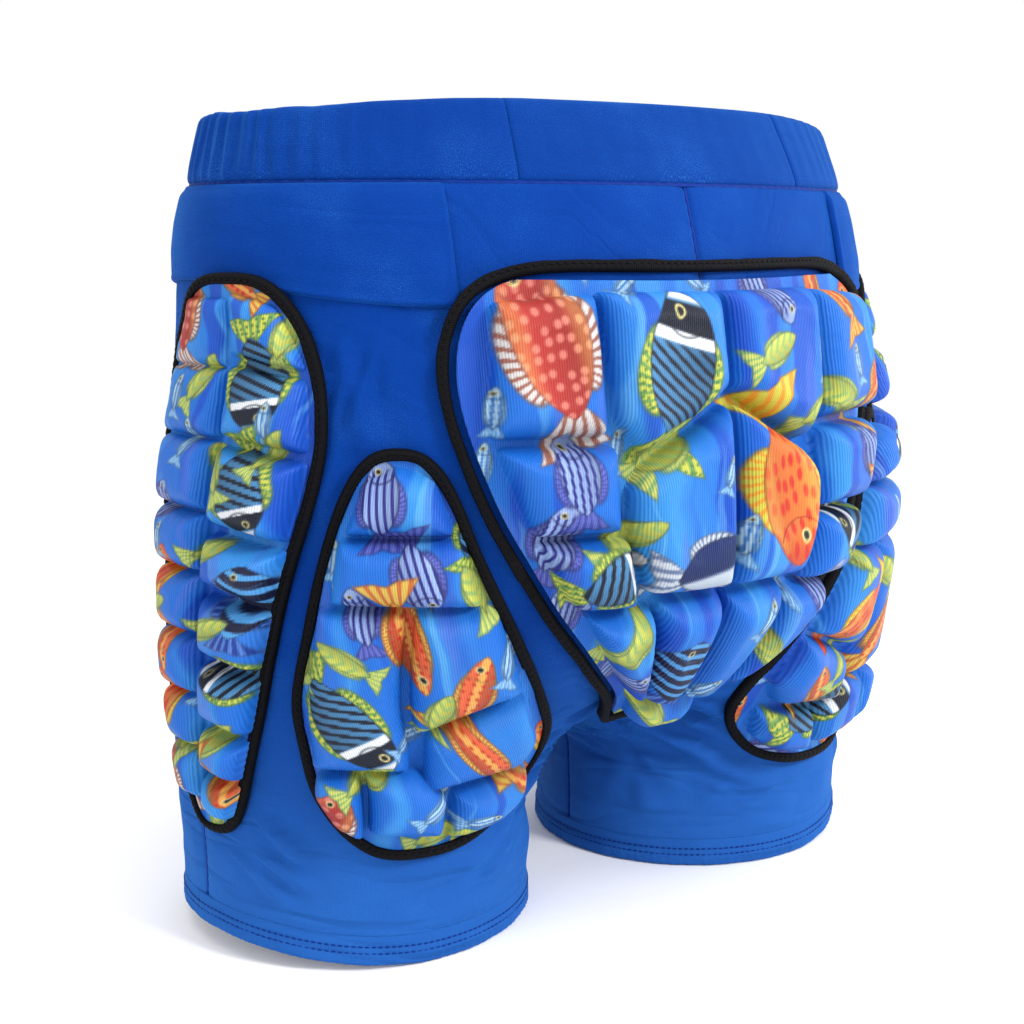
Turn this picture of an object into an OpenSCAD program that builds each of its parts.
// Padded impact shorts: stretch shell, waistband, hems and five bound foam pads.
// Millimetres. The wearer faces -Y, the wearer's left is +X, the hems stand on z = 0.

/* [Garment] */
// Height from the hems to the top of the waistband
height = 330; // [260:1:420]
// Half width of the waist opening
waist_a = 147; // [110:1:200]
// Half depth of the waist opening
waist_b = 81; // [62:1:115]
// Half width across the hips
hip_a = 164; // [125:1:220]
// Depth from the middle out to the seat
seat_b = 117; // [90:1:150]
// Depth from the middle out to the front
front_b = 99; // [75:1:130]
// Half width over both legs at the hems
leg_out = 164; // [125:1:215]
// Half of the gap between the legs at the hems
leg_in = 20; // [12:1:30]
// Half depth of a leg
leg_b = 70; // [52:1:85]
// Height where the legs begin to merge
merge_z = 48; // [35:1:70]
// Height where the legs have become one body
body_z = 166; // [140:1:210]

/* [Cloth] */
// Thickness of the stretch cloth
cloth_t = 1.6; // [0.8:0.1:2.5]
// Height of the waistband
waistband_h = 31; // [20:1:45]
// Height of the folded hems
hem_h = 12; // [8:1:25]
// Depth of the side yokes below the waist seam
yoke_h = 44; // [30:1:60]
// Width left between two panels for their seam
seam_w = 4.4; // [2.5:0.1:6]

/* [Pads] */
// Foam height of the seat pad
seat_rise = 15; // [8:0.5:20]
// Foam height of the hip pads
hip_rise = 13; // [8:0.5:20]
// Foam height of the thigh pads
thigh_rise = 13; // [8:0.5:20]
// Radius of the rounded shoulder of a foam cell
shoulder_r = 9; // [5:0.5:14]
// Thickness of the printed cover cloth
cover_t = 1.2; // [0.6:0.1:2]
// Thickness of the backing cloth
backing_t = 1.2; // [0.6:0.1:2]
// Width of the binding tape
binding_w = 4.4; // [3:0.1:7]
// Clearance between two layers of cloth
layer_gap = 0.8; // [0.5:0.1:1.5]

/* [Hidden] */
seam_z = height - waistband_h;
leg_x = (leg_out + leg_in) / 2;
leg_a = (leg_out - leg_in) / 2;
side_phi = 3;
leg_y = -1;
radian = 180 / PI;
seam_gap = 1.6;
gap_x = seam_w / 2;
edge_gap = 0.6;
yoke_off = cloth_t / 2 + layer_gap;
pad_off = cloth_t / 2 + layer_gap;
foam_off = pad_off + backing_t + layer_gap;
hem_t = 2 * cloth_t;
band_t = 1.2;
elastic_t = 1.2;
thread_t = 0.8;
thread_gap = 0.2;
seam_proud = 0.3;
seam_side_gap = 0.4;
elastic_foot = 1.4;
cover_lift = 0.4;
band_from = 63;
band_join = 0.4;
hem_rows = [0.42, 0.64];
cell_reach = 60;
y_shift = -(seat_b + foam_off + seat_rise + 1 - front_b) / 2;

blue = [0.07, 0.28, 0.72];
black = [0.06, 0.06, 0.07];
print_blue = [0.25, 0.55, 0.85];

// ---- lists and solids ----------------------------------------------------

function cat(L) = [for (a = L) each a];
function sum(L) = [for (a = L) 1] * L;
function unit(v) = v / max(norm(v), 1e-9);
function mir(s, p) = [s * p.x, p.y, p.z];
function starts(L) =
    [for (i = 0, s = 0; i < len(L); s = s + len(L[i][0]), i = i + 1) s];

// Several closed shells as one, each a pair of points and triangles
function join(L) = let (o = starts(L))
    [cat([for (s = L) s[0]]),
     [for (i = [0 : len(L) - 1]) for (f = L[i][1]) [for (v = f) v + o[i]]]];

// Triangles are turned so that the shell's faces look outward
function volume(s) = let (P = s[0])
    sum([for (f = s[1]) cross(P[f[0]], P[f[1]]) * P[f[2]]]);
function outward(s) = volume(s) > 0
    ? [s[0], [for (f = s[1]) [f[0], f[2], f[1]]]] : s;

function quad(a, b, c, d) = [[a, b, c], [a, c, d]];

// A sheet between two grids of points with the same rows and columns
function sheet(A, B) = let (n = len(A), m = len(A[0]), k = n * m)
    outward([concat(cat(A), cat(B)), cat([
        for (i = [0 : n - 2]) for (j = [0 : m - 2]) let (a = i * m + j)
            concat(quad(a, a + 1, a + m + 1, a + m),
                quad(k + a, k + a + m, k + a + m + 1, k + a + 1)),
        for (i = [0 : n - 2]) let (a = i * m, b = i * m + m - 1)
            concat(quad(a, a + m, k + a + m, k + a),
                quad(b, k + b, k + b + m, b + m)),
        for (j = [0 : m - 2]) let (a = j, b = (n - 1) * m + j)
            concat(quad(a, k + a, k + a + 1, a + 1),
                quad(b, b + 1, k + b + 1, k + b))])]);

// Rings of points in order, joined side to side; closed as a loop, or capped with the
// triangles of one end
function fan(m) = [for (j = [1 : m - 2]) [0, j, j + 1]];
function tube(R, loop, ends = undef) = let (n = len(R), m = len(R[0]),
        last = loop ? n - 1 : n - 2, C = loop ? [] : ends == undef ? fan(m) : ends)
    outward([cat(R), concat(
        cat([for (i = [0 : last]) for (j = [0 : m - 1])
            let (a = i * m, b = ((i + 1) % n) * m, k = (j + 1) % m)
            quad(a + j, a + k, b + k, b + j)]),
        [for (f = C) [f[0], f[2], f[1]]],
        [for (f = C) [for (v = f) v + (n - 1) * m]])]);

module solid(s) polyhedron(points = s[0], faces = s[1], convexity = 8);

// ---- smooth tables: [key, value], value a number or a list ----------------

function seg(x, T, i = 0) = i >= len(T) - 2 || x < T[i + 1][0] ? i : seg(x, T, i + 1);
function rise(T, i) = (T[i + 1][1] - T[i][1]) / (T[i + 1][0] - T[i][0]);
function slope(T, i) = i == 0 ? rise(T, 0)
    : i == len(T) - 1 ? rise(T, i - 1) : (rise(T, i - 1) + rise(T, i)) / 2;
function smooth_at(x0, T) = let (x = min(max(x0, T[0][0]), T[len(T) - 1][0]),
        i = seg(x, T), h = T[i + 1][0] - T[i][0], t = (x - T[i][0]) / h,
        t2 = t * t, t3 = t2 * t)
    T[i][1] * (2 * t3 - 3 * t2 + 1) + slope(T, i) * h * (t3 - 2 * t2 + t)
    + T[i + 1][1] * (3 * t2 - 2 * t3) + slope(T, i + 1) * h * (t3 - t2);

// ---- the shell's surface --------------------------------------------------

// A level laid out for the standard shell, stretched to this garment: the pads end
// yoke_lap above the lower edge of the yokes, whatever the height
yoke_lap = 11;
pad_top = seam_z - yoke_h + yoke_lap;
standard_hem = 12;
standard_rise = 254;
function lay(z) = hem_h + (z - standard_hem) * (pad_top - hem_h) / standard_rise;

// At each height: body half width, back and front depth, leg half width, half depth
// and how far the leg stands back
FORM = [[0, [leg_out + 4, seat_b - 5, front_b - 3, leg_a, leg_b, leg_y]],
    [hem_h + 18, [leg_out + 4, seat_b - 3, front_b - 3, leg_a, leg_b, leg_y]],
    [lay(110), [hip_a + 4, seat_b + 1, front_b - 1, leg_a + 5, leg_b - 2, leg_y + 3]],
    [lay(210), [hip_a, seat_b, front_b, leg_a + 8, leg_b - 8, leg_y + 5]],
    [seam_z, [waist_a + 7, waist_b + 16, waist_b + 12, leg_a + 8, leg_b - 8, leg_y + 5]],
    [height, [waist_a, waist_b, waist_b - 1, leg_a + 8, leg_b - 8, leg_y + 5]]];

// Distance from a leg's axis to an ellipse along a direction
function ray(ox, oy, a, b, c, s) = let (A = (c / a) ^ 2 + (s / b) ^ 2,
        B = -2 * (ox * c / a ^ 2 + oy * s / b ^ 2),
        C = (ox / a) ^ 2 + (oy / b) ^ 2 - 1)
    (-B + sqrt(max(B * B - 4 * A * C, 0))) / (2 * A);
function merge(z) = let (t = min(max((z - merge_z) / (body_z - merge_z), 0), 1))
    t * t * (3 - 2 * t);
function reach(phi, z) = let (v = smooth_at(z, FORM), c = cos(phi), s = sin(phi), w = merge(z))
    (1 - w) * ray(0, v[5], v[3], v[4], c, s)
    + w * ray(-leg_x, 0, v[0], s > 0 ? v[1] : v[2], c, s);
function depth_in(p) = let (x = abs(p.x) - leg_x)
    norm([x, p.y]) - reach(atan2(p.y, x), p.z);
function facing(p) = let (e = 0.4, f = depth_in(p))
    unit([depth_in(p + [e, 0, 0]) - f, depth_in(p + [0, e, 0]) - f,
        depth_in(p + [0, 0, e]) - f]);
function on_shell(phi, z) = let (r = reach(phi, z))
    [leg_x + r * cos(phi), r * sin(phi), z];
function off_shell(phi, z, off) = let (p = on_shell(phi, z)) p + facing(p) * off;

// Angle at which the shell comes to the middle, behind (s = 1) or in front (s = -1)
function mid_phi(s, z, lo = 90, hi = 180, n = 14) = n == 0 ? s * (lo + hi) / 2
    : on_shell(s * (lo + hi) / 2, z).x > gap_x
        ? mid_phi(s, z, (lo + hi) / 2, hi, n - 1) : mid_phi(s, z, lo, (lo + hi) / 2, n - 1);
function find_crotch(lo, hi, n = 16) = n == 0 ? (lo + hi) / 2
    : on_shell(180, (lo + hi) / 2).x > gap_x
        ? find_crotch((lo + hi) / 2, hi, n - 1) : find_crotch(lo, (lo + hi) / 2, n - 1);
crotch_z = find_crotch(merge_z, body_z);
panel_z0 = hem_h + edge_gap;
panel_z1 = seam_z - seam_gap;
LEVELS = concat([for (i = [0 : 3]) panel_z0 + (crotch_z - panel_z0) * i / 4],
    [for (i = [0 : 9]) crotch_z + (panel_z1 - crotch_z) * (i / 9) ^ 1.6]);
function end_phi(s, z) = let (m = abs(mid_phi(s, z)), leg = 180 - gap_x / leg_a * radian)
    s * (z <= crotch_z ? leg : min(m, leg));

// Front (s = -1) or back (s = 1) panel of the left side, drawn on side q
module panel(s, q, columns = 16) {
    function at(z, u, off) = let (a = side_phi + s * gap_x / leg_a * radian, b = end_phi(s, z))
        mir(q, off_shell(a + (b - a) * u, z, off));
    solid(sheet(
        [for (z = LEVELS) [for (j = [0 : columns]) at(z, j / columns, cloth_t / 2)]],
        [for (z = LEVELS) [for (j = [0 : columns]) at(z, j / columns, -cloth_t / 2)]]));
}

// A flat strip along a path: points, normals, sideways directions
function strip(P, N, S, w0, w1, o0, o1, loop = false) = tube([for (i = [0 : len(P) - 1])
    [P[i] + S[i] * w0 + N[i] * o0, P[i] + S[i] * w1 + N[i] * o0,
     P[i] + S[i] * w1 + N[i] * o1, P[i] + S[i] * w0 + N[i] * o1]], loop);

seam_half = gap_x - cloth_t / 2 - seam_side_gap;
module leg_seam(phi, z0, z1, q, n = 12) {
    P = [for (i = [0 : n]) on_shell(phi, z0 + (z1 - z0) * i / n)];
    N = [for (p = P) facing(p)];
    S = [for (v = N) unit(cross(v, [0, 0, 1]))];
    T = strip(P, N, S, -seam_half, seam_half, -cloth_t / 2, cloth_t / 2 + seam_proud);
    solid(outward([[for (p = T[0]) mir(q, p)], T[1]]));
}

module centre_seam() {
    Z = [for (i = [4 : len(LEVELS) - 1]) LEVELS[i]];
    B = [for (z = Z) on_shell(end_phi(1, z), z)];
    F = [for (z = Z) on_shell(end_phi(-1, z), z)];
    path = concat([for (i = [len(B) - 1 : -1 : 1]) [0, B[i].y, B[i].z]],
        [for (i = [1 : len(F) - 1]) [0, F[i].y, F[i].z]]);
    n = len(path);
    dir = [for (i = [0 : n - 1]) unit(path[min(i + 1, n - 1)] - path[max(i - 1, 0)])];
    N = [for (d = dir) [0, -d.z, d.y]];
    S = [for (d = dir) [1, 0, 0]];
    color(blue) solid(strip(path, N, S, -seam_half, seam_half, -cloth_t / 2, cloth_t / 2 + seam_proud));
}

// ---- waist ----------------------------------------------------------------

function hoop(t, z, off) = let (v = smooth_at(z, FORM), b = sin(t) > 0 ? v[1] : v[2])
    [v[0] * cos(t), b * sin(t), z]
    + unit([cos(t) / v[0], sin(t) / b, 0]) * off;

// Doubled waistband from angle t0 to t1: two walls folded over the top
module waistband(t0, t1, n) {
    z0 = seam_z + seam_gap;
    inside = -elastic_t - 3 * layer_gap;
    o = [band_t, 0, inside, inside - band_t];
    lip = height - band_t;
    section = [[o[0], z0], [o[0], height], [o[3], height], [o[3], z0],
        [o[2], z0], [o[2], lip], [o[1], lip], [o[1], z0]];
    ends = concat(quad(0, 1, 6, 7), quad(1, 2, 5, 6), quad(2, 3, 4, 5));
    solid(tube([for (i = [0 : n]) let (t = t0 + (t1 - t0) * i / n)
        [for (s = section) hoop(t, s[1], s[0])]], false, ends));
}
module waist_elastic(n = 48) {
    o0 = -1.5 * layer_gap;
    o1 = o0 - elastic_t;
    z0 = seam_z + seam_gap + elastic_foot;
    z1 = height - band_t - layer_gap;
    color([0.8, 0.8, 0.82]) solid(tube([for (i = [0 : n - 1]) let (t = 360 * i / n)
        [hoop(t, z0, o0), hoop(t, z1, o0), hoop(t, z1, o1), hoop(t, z0, o1)]], true));
}
module waist_seam(n = 60) {
    color(blue) solid(tube([for (i = [0 : n - 1]) let (t = 360 * i / n)
        [hoop(t, seam_z - 1, 1), hoop(t, seam_z + 1, 1),
         hoop(t, seam_z + 1, -1), hoop(t, seam_z - 1, -1)]], true));
}

// ---- yokes and hems -------------------------------------------------------

yoke_back = 87;
yoke_front = -62;
yoke_cut = 0.2;
function yoke_drop(phi) = yoke_h * (1 - yoke_cut * (cos(phi) ^ 2));
module yoke(q, n = 20, rows = 4) {
    function at(i, j, off) = let (phi = yoke_front + (yoke_back - yoke_front) * j / n)
        mir(q, off_shell(phi, panel_z1 - yoke_drop(phi) * i / rows, off));
    solid(sheet([for (i = [0 : rows]) [for (j = [0 : n]) at(i, j, yoke_off + cloth_t)]],
        [for (i = [0 : rows]) [for (j = [0 : n]) at(i, j, yoke_off)]]));
}
function leg_ring(off, q, n = 48) = [for (i = [0 : n - 1]) let (t = 360 * i / n)
    [q * (leg_x + (leg_a + off) * cos(t)), leg_y + (leg_b + off) * sin(t)]];
module leg_band(q, z0, z1, o0, o1)
    translate([0, 0, z0]) linear_extrude(z1 - z0) difference() {
        polygon(leg_ring(o1, q));
        polygon(leg_ring(o0, q));
    }
module hem(q) leg_band(q, 0, hem_h, -hem_t / 2, hem_t / 2);
module hem_stitching(q) for (row = hem_rows)
    leg_band(q, hem_h * row, hem_h * row + thread_t, hem_t / 2 + thread_gap, hem_t / 2 + thread_t);

// ---- pads: places on the shell --------------------------------------------

// How far the yoke under a place lifts the pad, with a ramp up to the yoke's edges
yoke_ramp = 14;
yoke_turn = 8;
function yoke_lift(p) = let (phi = atan2(p.y, abs(p.x) - leg_x),
        up = 1 + (p.z - panel_z1 + yoke_drop(phi)) / yoke_ramp,
        along = 1 + (yoke_back - phi) / yoke_turn)
    (cloth_t + layer_gap) * min(max(up, 0), 1) * min(max(along, 0), 1);

// Seat pad places are [across in mm, angle about a line through the body]
eye_z = lay(165);
function eye_y(x) = 10 - 0.23 / leg_x * x * x;
bridge = 22;
standard_stand = 101;
stand = (pad_top - eye_z) / standard_stand;
function turned(b) = atan(tan(b) * stand);
function cast(x, b, lo = 20, hi = 300, n = 13) = let (m = (lo + hi) / 2) n == 0 ? m
    : depth_in([x, eye_y(x) + m * cos(b), eye_z + m * sin(b)]) < 0
        ? cast(x, b, m, hi, n - 1) : cast(x, b, lo, m, n - 1);
function seat_place(x, b, dip) = let (ax = max(abs(x), 1), k = exp(-ax / bridge),
        d = cast(ax, b) + dip * bridge * k,
        p = [x, eye_y(ax) + d * cos(b), eye_z + d * sin(b)],
        v = facing([ax * sign(x + 0.001), p.y, p.z]),
        w = unit([v.x * (1 - k), v.y, v.z]))
    [p + w * yoke_lift(p), w];
function leg_place(phi, z) = let (p = on_shell(phi, z), w = facing(p)) [p + w * yoke_lift(p), w];

// A grid of places over a pad's box, which every layer of the pad reads
function seat_grid(box, m = 22, n = 22) = [for (i = [0 : n])
    let (b = turned(box[0].y + (box[1].y - box[0].y) * i / n),
        dip = min(max((cast(5, b) - cast(1.5, b)) / 3.5, 0), 0.9))
    [for (j = [0 : m]) seat_place(box[0].x + (box[1].x - box[0].x) * j / m, b, dip)]];
function leg_grid(box, m = 16, n = 22) = [for (i = [0 : n])
    [for (j = [0 : m]) leg_place(box[0].x + (box[1].x - box[0].x) * j / m,
        box[0].y + (box[1].y - box[0].y) * i / n)]];

function blend4(G, i, j, s, t, k) = (G[i][j][k] * (1 - s) + G[i][j + 1][k] * s) * (1 - t)
    + (G[i + 1][j][k] * (1 - s) + G[i + 1][j + 1][k] * s) * t;
function spot(G, box, p) = let (m = len(G[0]) - 1, n = len(G) - 1,
        x = min(max((p.x - box[0].x) / (box[1].x - box[0].x) * m, 0), m - 0.001),
        y = min(max((p.y - box[0].y) / (box[1].y - box[0].y) * n, 0), n - 0.001),
        j = floor(x), i = floor(y))
    [blend4(G, i, j, x - j, y - i, 0), unit(blend4(G, i, j, x - j, y - i, 1))];
function raised(G, box, p, off) = let (s = spot(G, box, p)) s[0] + s[1] * off;

// ---- pads: outlines and cells ---------------------------------------------

// A pad: [kind, rise, lower end, upper end, roundness of the ends, middle line table,
//         half width table, cells, share of the rise at each level, lean to the rear]
function pad_rise(D, p) = D[1] * smooth_at(p.y, D[8])
    * (1 + D[9] * (p.x - mid(D, p.y)) / max(half(D, p.y), 1));
function cap(D, v) = let (t = abs(2 * (v - D[2]) / (D[3] - D[2]) - 1))
    (1 - min(t, 1) ^ D[4]) ^ (1 / D[4]);
function mid(D, v) = smooth_at(v, D[5]);
function half(D, v) = smooth_at(v, D[6]) * cap(D, v);
function widest(D) = max([for (e = D[6]) e[1]]);
function pad_box(D) = let (m = [for (e = D[5]) e[1]], w = widest(D) + 3)
    [[min(m) - w, D[2]], [max(m) + w, D[3]]];
function pad_grid(D) = D[0] == "seat" ? seat_grid(pad_box(D)) : leg_grid(pad_box(D));
// mm across and along for one unit of a place; seat_turn is degrees for one seat depth
function scale_x(D, v) = D[0] == "seat" ? 1 : on_shell(mid(D, v), v).x > 0
    ? reach(mid(D, v), v) / radian : 1;
seat_turn = 60;
function scale_y(D) = D[0] == "seat" ? seat_b / seat_turn * stand : 1;
function flat(D, p) = [(p.x - mid(D, p.y)) * scale_x(D, p.y), p.y * scale_y(D)];

// A cell ready for measuring: corners in mm, middle, inner radius
function cell(D, C) = let (P = [for (p = C) flat(D, p)], c = sum(P) / len(P),
        r = min([for (i = [0 : len(P) - 1]) edge(P, i, c)]))
    [P, c, r, sum(C) / len(C), C];
function edge(P, i, p) = let (a = P[i], b = P[(i + 1) % len(P)], d = unit(b - a))
    d.x * (p.y - a.y) - d.y * (p.x - a.x);
function swell(c, q) = let (P = c[0], r = min(shoulder_r, c[2]),
        d = min([for (i = [0 : len(P) - 1]) edge(P, i, q)]))
    d <= 0 ? 0 : d >= r ? 1 : sqrt(1 - (1 - d / r) ^ 2);
function bulge(cells, q) = max([for (c = cells) norm(q - c[1]) > cell_reach ? 0 : swell(c, q)]);

// Rows and columns of places inside the outline, a margin in mm from its edge
function rows(D, n, e) = let (m = e / scale_y(D), lo = D[2] + m, hi = D[3] - m)
    [for (i = [0 : n]) let (t = (1 - cos(180 * i / n)) / 2, u = i / n)
        lo + (hi - lo) * (0.45 * t + 0.55 * u)];
function across(D, v, u, e) = let (k = scale_x(D, v),
        w = max(half(D, v) - e / k, 1.5 / k)) mid(D, v) + w * (2 * u - 1);
function inner_row(D, v, m, e) = [for (j = [0 : m]) [across(D, v, j / m, e), v]];

// The outline, seen from the pad's middle, one place for each of n directions
function within(D, p) = p.y > D[2] && p.y < D[3] && abs(p.x - mid(D, p.y)) < half(D, p.y);
function border(D, c, d, lo = 0, hi = 1.7, n = 14) = let (m = (lo + hi) / 2) n == 0 ? c + d * m
    : within(D, c + d * m) ? border(D, c, d, m, hi, n - 1) : border(D, c, d, lo, m, n - 1);
function outline(D, n) = let (v = (D[2] + D[3]) / 2, c = [mid(D, v), v],
        w = widest(D) * 0.8, h = (D[3] - D[2]) / 2)
    [for (i = [0 : n - 1]) let (a = 360 * (i + 0.5) / n)
        border(D, c, [w * cos(a), h * sin(a)])];

// ---- pads: layers ---------------------------------------------------------

edge_in = binding_w + edge_gap;
module pad_sheet(D, q, m, n, e, t, bulging) {
    box = pad_box(D);
    G = pad_grid(D);
    cells = bulging ? [for (C = D[7]) cell(D, C)] : [];
    base = bulging ? foam_off + cover_lift : pad_off;
    V = rows(D, n, e);
    H = [for (v = V) [for (p = inner_row(D, v, m, e))
        base + (bulging ? pad_rise(D, p) * bulge(cells, flat(D, p)) : 0)]];
    function layer(lift) = [for (i = [0 : n]) let (R = inner_row(D, V[i], m, e))
        [for (j = [0 : m]) mir(q, raised(G, box, R[j], H[i][j] + lift))]];
    solid(sheet(layer(t), layer(0)));
}
module pad_backing(D, q, m, n) pad_sheet(D, q, m, n, edge_in, backing_t, false);
module pad_cover(D, q, m, n) pad_sheet(D, q, m, n, edge_in, cover_t, true);

// Foam: one crowned block under each raised cell of the cover
module pad_foam(D, q, per_edge = 3) {
    box = pad_box(D);
    G = pad_grid(D);
    cells = [for (C = D[7]) cell(D, C)];
    function at(p, share) = let (top = max(pad_rise(D, p) - 2 * layer_gap, 1))
        mir(q, raised(G, box, p, foam_off + top * share));
    function block(c) = let (P = c[4], k = len(P), n = k * per_edge,
            E = [for (i = [0 : k - 1]) for (s = [0 : per_edge - 1])
                P[i] + (P[(i + 1) % k] - P[i]) * s / per_edge],
            ring = function (f, share) [for (p = E) at(c[3] + (p - c[3]) * f, share)])
        outward([concat(ring(0.74, 0), ring(0.72, 0.15), ring(0.55, 0.6), ring(0.32, 0.9),
            [at(c[3], 0), at(c[3], 0.92)]),
            concat(cat([for (r = [0 : 2]) for (i = [0 : n - 1]) let (j = (i + 1) % n)
                quad(r * n + i, r * n + j, r * n + n + j, r * n + n + i)]),
                [for (i = [0 : n - 1]) [4 * n, (i + 1) % n, i]],
                [for (i = [0 : n - 1]) [4 * n + 1, 3 * n + i, 3 * n + (i + 1) % n]])]);
    solid(join([for (c = cells) block(c)]));
}

// The rim around a pad, w0 to w1 mm in from the outline and o0 to o1 off the shell
module pad_rim(D, q, n, w0, w1, o0, o1) {
    box = pad_box(D);
    G = pad_grid(D);
    O = outline(D, n);
    S = [for (p = O) spot(G, box, p)];
    P = [for (s = S) s[0]];
    N = [for (s = S) s[1]];
    inward = [for (i = [0 : n - 1])
        unit(cross(N[i], P[(i + 1) % n] - P[(i + n - 1) % n]))];
    T = strip(P, N, inward, w0, w1, o0, o1, true);
    solid(outward([[for (p = T[0]) mir(q, p)], T[1]]));
}
binding_top = foam_off + cover_t + 0.6;
module pad_binding(D, q, n) pad_rim(D, q, n, 0, binding_w, pad_off, binding_top);
stitch_in = binding_w * 0.62;
module pad_stitching(D, q, n)
    pad_rim(D, q, n, stitch_in, stitch_in + thread_t, binding_top + thread_gap, binding_top + thread_t);

// ---- the seat pad ---------------------------------------------------------

function both(C) = concat(C, [for (c = C) [for (i = [len(c) - 1 : -1 : 0]) [-c[i].x, c[i].y]]]);
seat_side = [[[53, 22], [91, 22], [87, 41.5], [53, 42.5]],
    [[49, 4.5], [78, 4.5], [89, 19.5], [50, 19.5]],
    [[41, -9], [63, -9], [77, 2.5], [46, 2.5]],
    [[22, -34.5], [26, -34], [58, -11], [33, -11]],
    [[2, 28.5], [38, 18.5], [47, 24], [50, 42.8], [2, 42.8]],
    [[2, -7], [36, -7], [43, 2], [44, 12], [38, 16], [2, 25.5]],
    [[2, -37.5], [18, -36.5], [30, -9.5], [2, -9.5]]];
seat_tip = [[-12, -48], [12, -48], [17, -40], [-17, -40]];
standard_leg_x = 92;
seat_k = leg_x / standard_leg_x;
seat_half = [[-52, 20], [-42, 24], [-26, 46], [-9, 72], [4, 87], [12.5, 94], [27.5, 102.5],
    [46, 106]];
SEAT = ["seat", seat_rise, -52, 46, 7, [[-52, 0], [46, 0]],
    [for (w = seat_half) [w[0], w[1] * seat_k]],
    [for (c = concat(both(seat_side), [seat_tip])) [for (p = c) [p.x * seat_k, p.y]]],
    [[-52, 0.8], [-30, 1], [46, 0.9]], 0];

// ---- the hip pads ---------------------------------------------------------

hip_mid = [[50, 14], [78, 15], [99, 16], [124, 17], [167, 20], [205, 23.5], [230, 25], [266, 24]];
hip_half = [[50, 16], [82, 17.3], [105, 19.8], [128, 22.2], [152, 25], [180, 29.2],
    [204, 31.8], [221, 32.3], [266, 33]];
hip_rear = [259, 233, 204, 172, 149, 123, 98, 79, 62];
hip_fore = [257, 232, 206, 179, 156, 132, 109, 88, 67];
standard_binding = 4.4;
hip_fill = 0.84;
// Half width that the cells fill: it gives way when the binding is wider
function hip_cell_half(z) = hip_fill * smooth_at(z, HIP0[6]) * cap(HIP0, z)
    - (binding_w - standard_binding) / leg_a * radian;
function hip_cells() = let (w = function (z) hip_cell_half(z),
        m = function (z) smooth_at(z, HIP0[5]), g = 1.1)
    concat([for (i = [0 : 7]) let (z1 = lay(hip_rear[i]) - g, z0 = lay(hip_rear[i + 1]) + g, s = 3)
            [[m(z0) + 1.6, z0 + s], [m(z0) + w(z0), z0 - s / 2],
             [m(z1) + w(z1), z1 - s * 1.5], [m(z1) + 1.6, z1]]],
        [for (i = [0 : 7]) let (z1 = lay(hip_fore[i]) - g, z0 = lay(hip_fore[i + 1]) + g)
            [[m(z0) - w(z0), z0], [m(z0) - 0.8, z0],
             [m(z1) - 0.8, z1], [m(z1) - w(z1), z1]]]);
function laid(T) = [for (e = T) [lay(e[0]), e[1]]];
hip_share = [[50, 0.7], [90, 0.82], [130, 0.95], [185, 0.95], [225, 0.55], [266, 0.28]];
HIP0 = ["leg", hip_rise, lay(50), lay(266), 3, laid(hip_mid), laid(hip_half), [],
    laid(hip_share), 0.42];
HIP = [for (i = [0 : 9]) i == 7 ? hip_cells() : HIP0[i]];

// ---- the thigh pads -------------------------------------------------------

thigh_mid = [[44, 80], [50, 83], [60, 84], [75, 83.5], [90, 81], [110, 75.5], [139, 72],
    [166, 70.5], [205, 71.5]];
thigh_half = [[44, 43], [60, 42.5], [75, 41.5], [90, 38], [110, 32.5], [139, 24.5],
    [166, 19.5], [188, 17.6], [205, 17]];
thigh_cells = [[[60, 175], [82.5, 175], [79, 193], [72, 198], [65, 193]],
    [[56, 150], [88, 150], [84.5, 172], [58.5, 172]],
    [[49, 87], [74, 85.5], [72.5, 147], [53, 147]],
    [[76.5, 101], [100, 116], [91, 147], [75.5, 147]],
    [[79, 76], [106, 83], [109, 94], [102, 112], [79, 97]],
    [[64, 59], [84, 55], [85, 72], [76, 84], [63, 84]],
    [[50, 83], [49, 76], [54, 63], [61, 57], [60, 84]],
    [[88, 53], [102, 56], [111, 66], [111, 79], [88.5, 72]]];
THIGH = ["leg", thigh_rise, lay(44), lay(205), 2.6, laid(thigh_mid), laid(thigh_half),
    [for (c = thigh_cells) [for (p = c) [p.x, lay(p.y)]]], [[lay(44), 0.9], [lay(205), 0.95]], 0];

// ---- nodes ----------------------------------------------------------------

// The whole garment, moved so that its box is centred in depth
module shift() translate([0, y_shift, 0]) children();
module back_panel_left() color(blue) panel(1, 1);
module back_panel_right() color(blue) panel(1, -1);
module front_panel_left() color(blue) panel(-1, 1);
module front_panel_right() color(blue) panel(-1, -1);
module side_yoke_left() color(blue) yoke(1);
module side_yoke_right() color(blue) yoke(-1);
module side_seam(q) color(blue) leg_seam(side_phi, panel_z0, panel_z1, q);
module inseam(q) color(blue) leg_seam(180, panel_z0, crotch_z - 3, q, 4);

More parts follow.
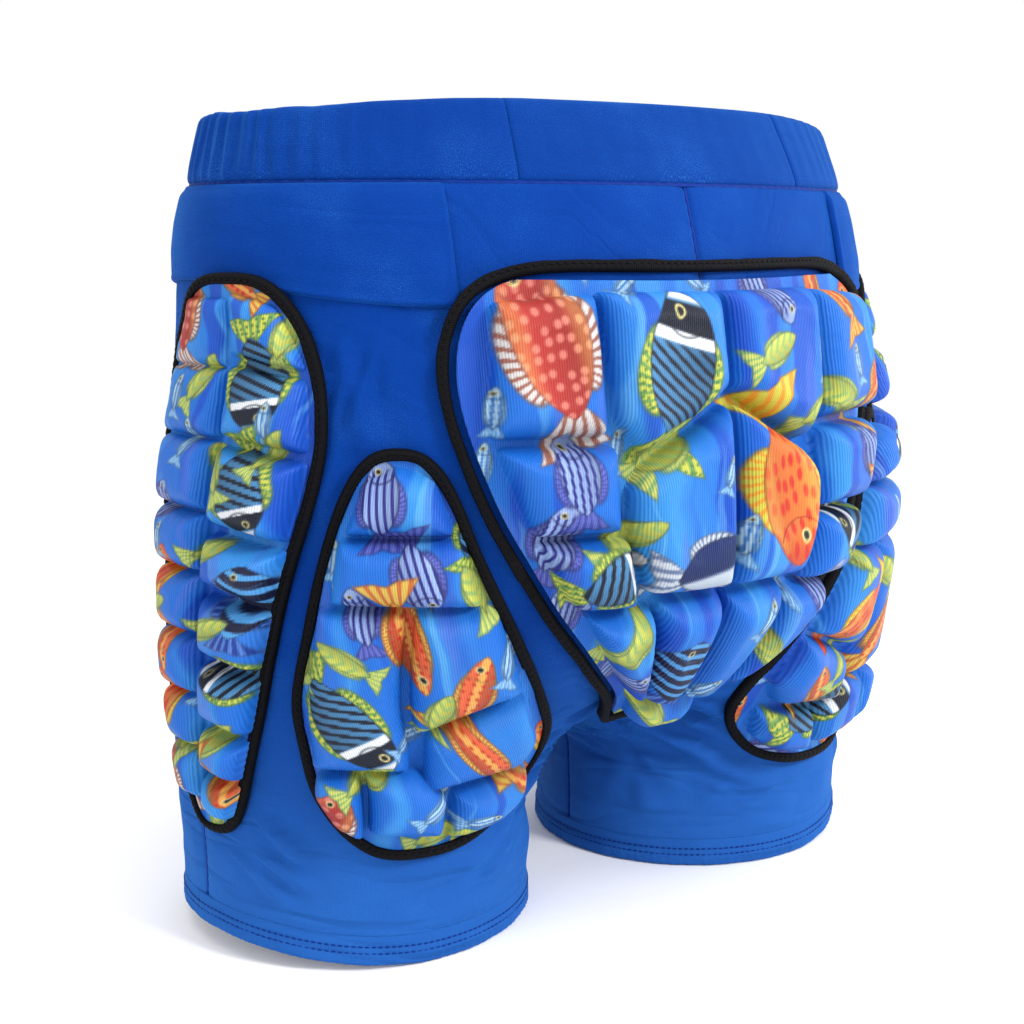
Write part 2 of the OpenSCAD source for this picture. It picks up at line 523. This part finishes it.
shift() back_panel_left();
shift() back_panel_right();
shift() front_panel_left();
shift() front_panel_right();
shift() side_yoke_left();
shift() side_yoke_right();
shift() color(blue) hem(1);  // hem_left
shift() color(blue) hem(-1);  // hem_right
shift() color(blue) hem_stitching(1);  // hem_stitching_left
shift() color(blue) hem_stitching(-1);  // hem_stitching_right
shift() centre_seam();
shift() side_seam(1);  // side_seam_left
shift() side_seam(-1);  // side_seam_right
shift() inseam(1);  // inseam_left
shift() inseam(-1);  // inseam_right
shift() waist_seam();
shift() color(blue)  // waistband_back
    waistband(band_from, 180 - band_from, 12);
shift() color(blue)  // waistband_main
    waistband(180 - band_from + band_join, 360 + band_from - band_join, 44);
shift() waist_elastic();

shift() color(blue) pad_backing(SEAT, 1, 14, 14);  // seat_pad_backing
shift() color("white") pad_foam(SEAT, 1, 2);  // seat_pad_foam
shift() color(print_blue) pad_cover(SEAT, 1, 26, 25);  // seat_pad_cover
shift() color(black) pad_binding(SEAT, 1, 56);  // seat_pad_binding
shift() color(black) pad_stitching(SEAT, 1, 56);  // seat_pad_stitching

shift() color(blue) pad_backing(HIP, 1, 6, 14);  // hip_pad_left_backing
shift() color("white") pad_foam(HIP, 1, 2);  // hip_pad_left_foam
shift() color(print_blue)  // hip_pad_left_cover
    pad_cover(HIP, 1, 9, 28);
shift() color(black) pad_binding(HIP, 1, 44);  // hip_pad_left_binding
shift() color(black)  // hip_pad_left_stitching
    pad_stitching(HIP, 1, 44);
shift() color(blue)  // hip_pad_right_backing
    pad_backing(HIP, -1, 6, 14);
shift() color("white") pad_foam(HIP, -1, 2);  // hip_pad_right_foam
shift() color(print_blue)  // hip_pad_right_cover
    pad_cover(HIP, -1, 9, 28);
shift() color(black)  // hip_pad_right_binding
    pad_binding(HIP, -1, 44);
shift() color(black)  // hip_pad_right_stitching
    pad_stitching(HIP, -1, 44);

shift() color(blue)  // thigh_pad_left_backing
    pad_backing(THIGH, 1, 10, 12);
shift() color("white") pad_foam(THIGH, 1);  // thigh_pad_left_foam
shift() color(print_blue)  // thigh_pad_left_cover
    pad_cover(THIGH, 1, 18, 22);
shift() color(black)  // thigh_pad_left_binding
    pad_binding(THIGH, 1, 44);
shift() color(black)  // thigh_pad_left_stitching
    pad_stitching(THIGH, 1, 44);
shift() color(blue)  // thigh_pad_right_backing
    pad_backing(THIGH, -1, 10, 12);
shift() color("white") pad_foam(THIGH, -1);  // thigh_pad_right_foam
shift() color(print_blue)  // thigh_pad_right_cover
    pad_cover(THIGH, -1, 18, 22);
shift() color(black)  // thigh_pad_right_binding
    pad_binding(THIGH, -1, 44);
shift() color(black)  // thigh_pad_right_stitching
    pad_stitching(THIGH, -1, 44);
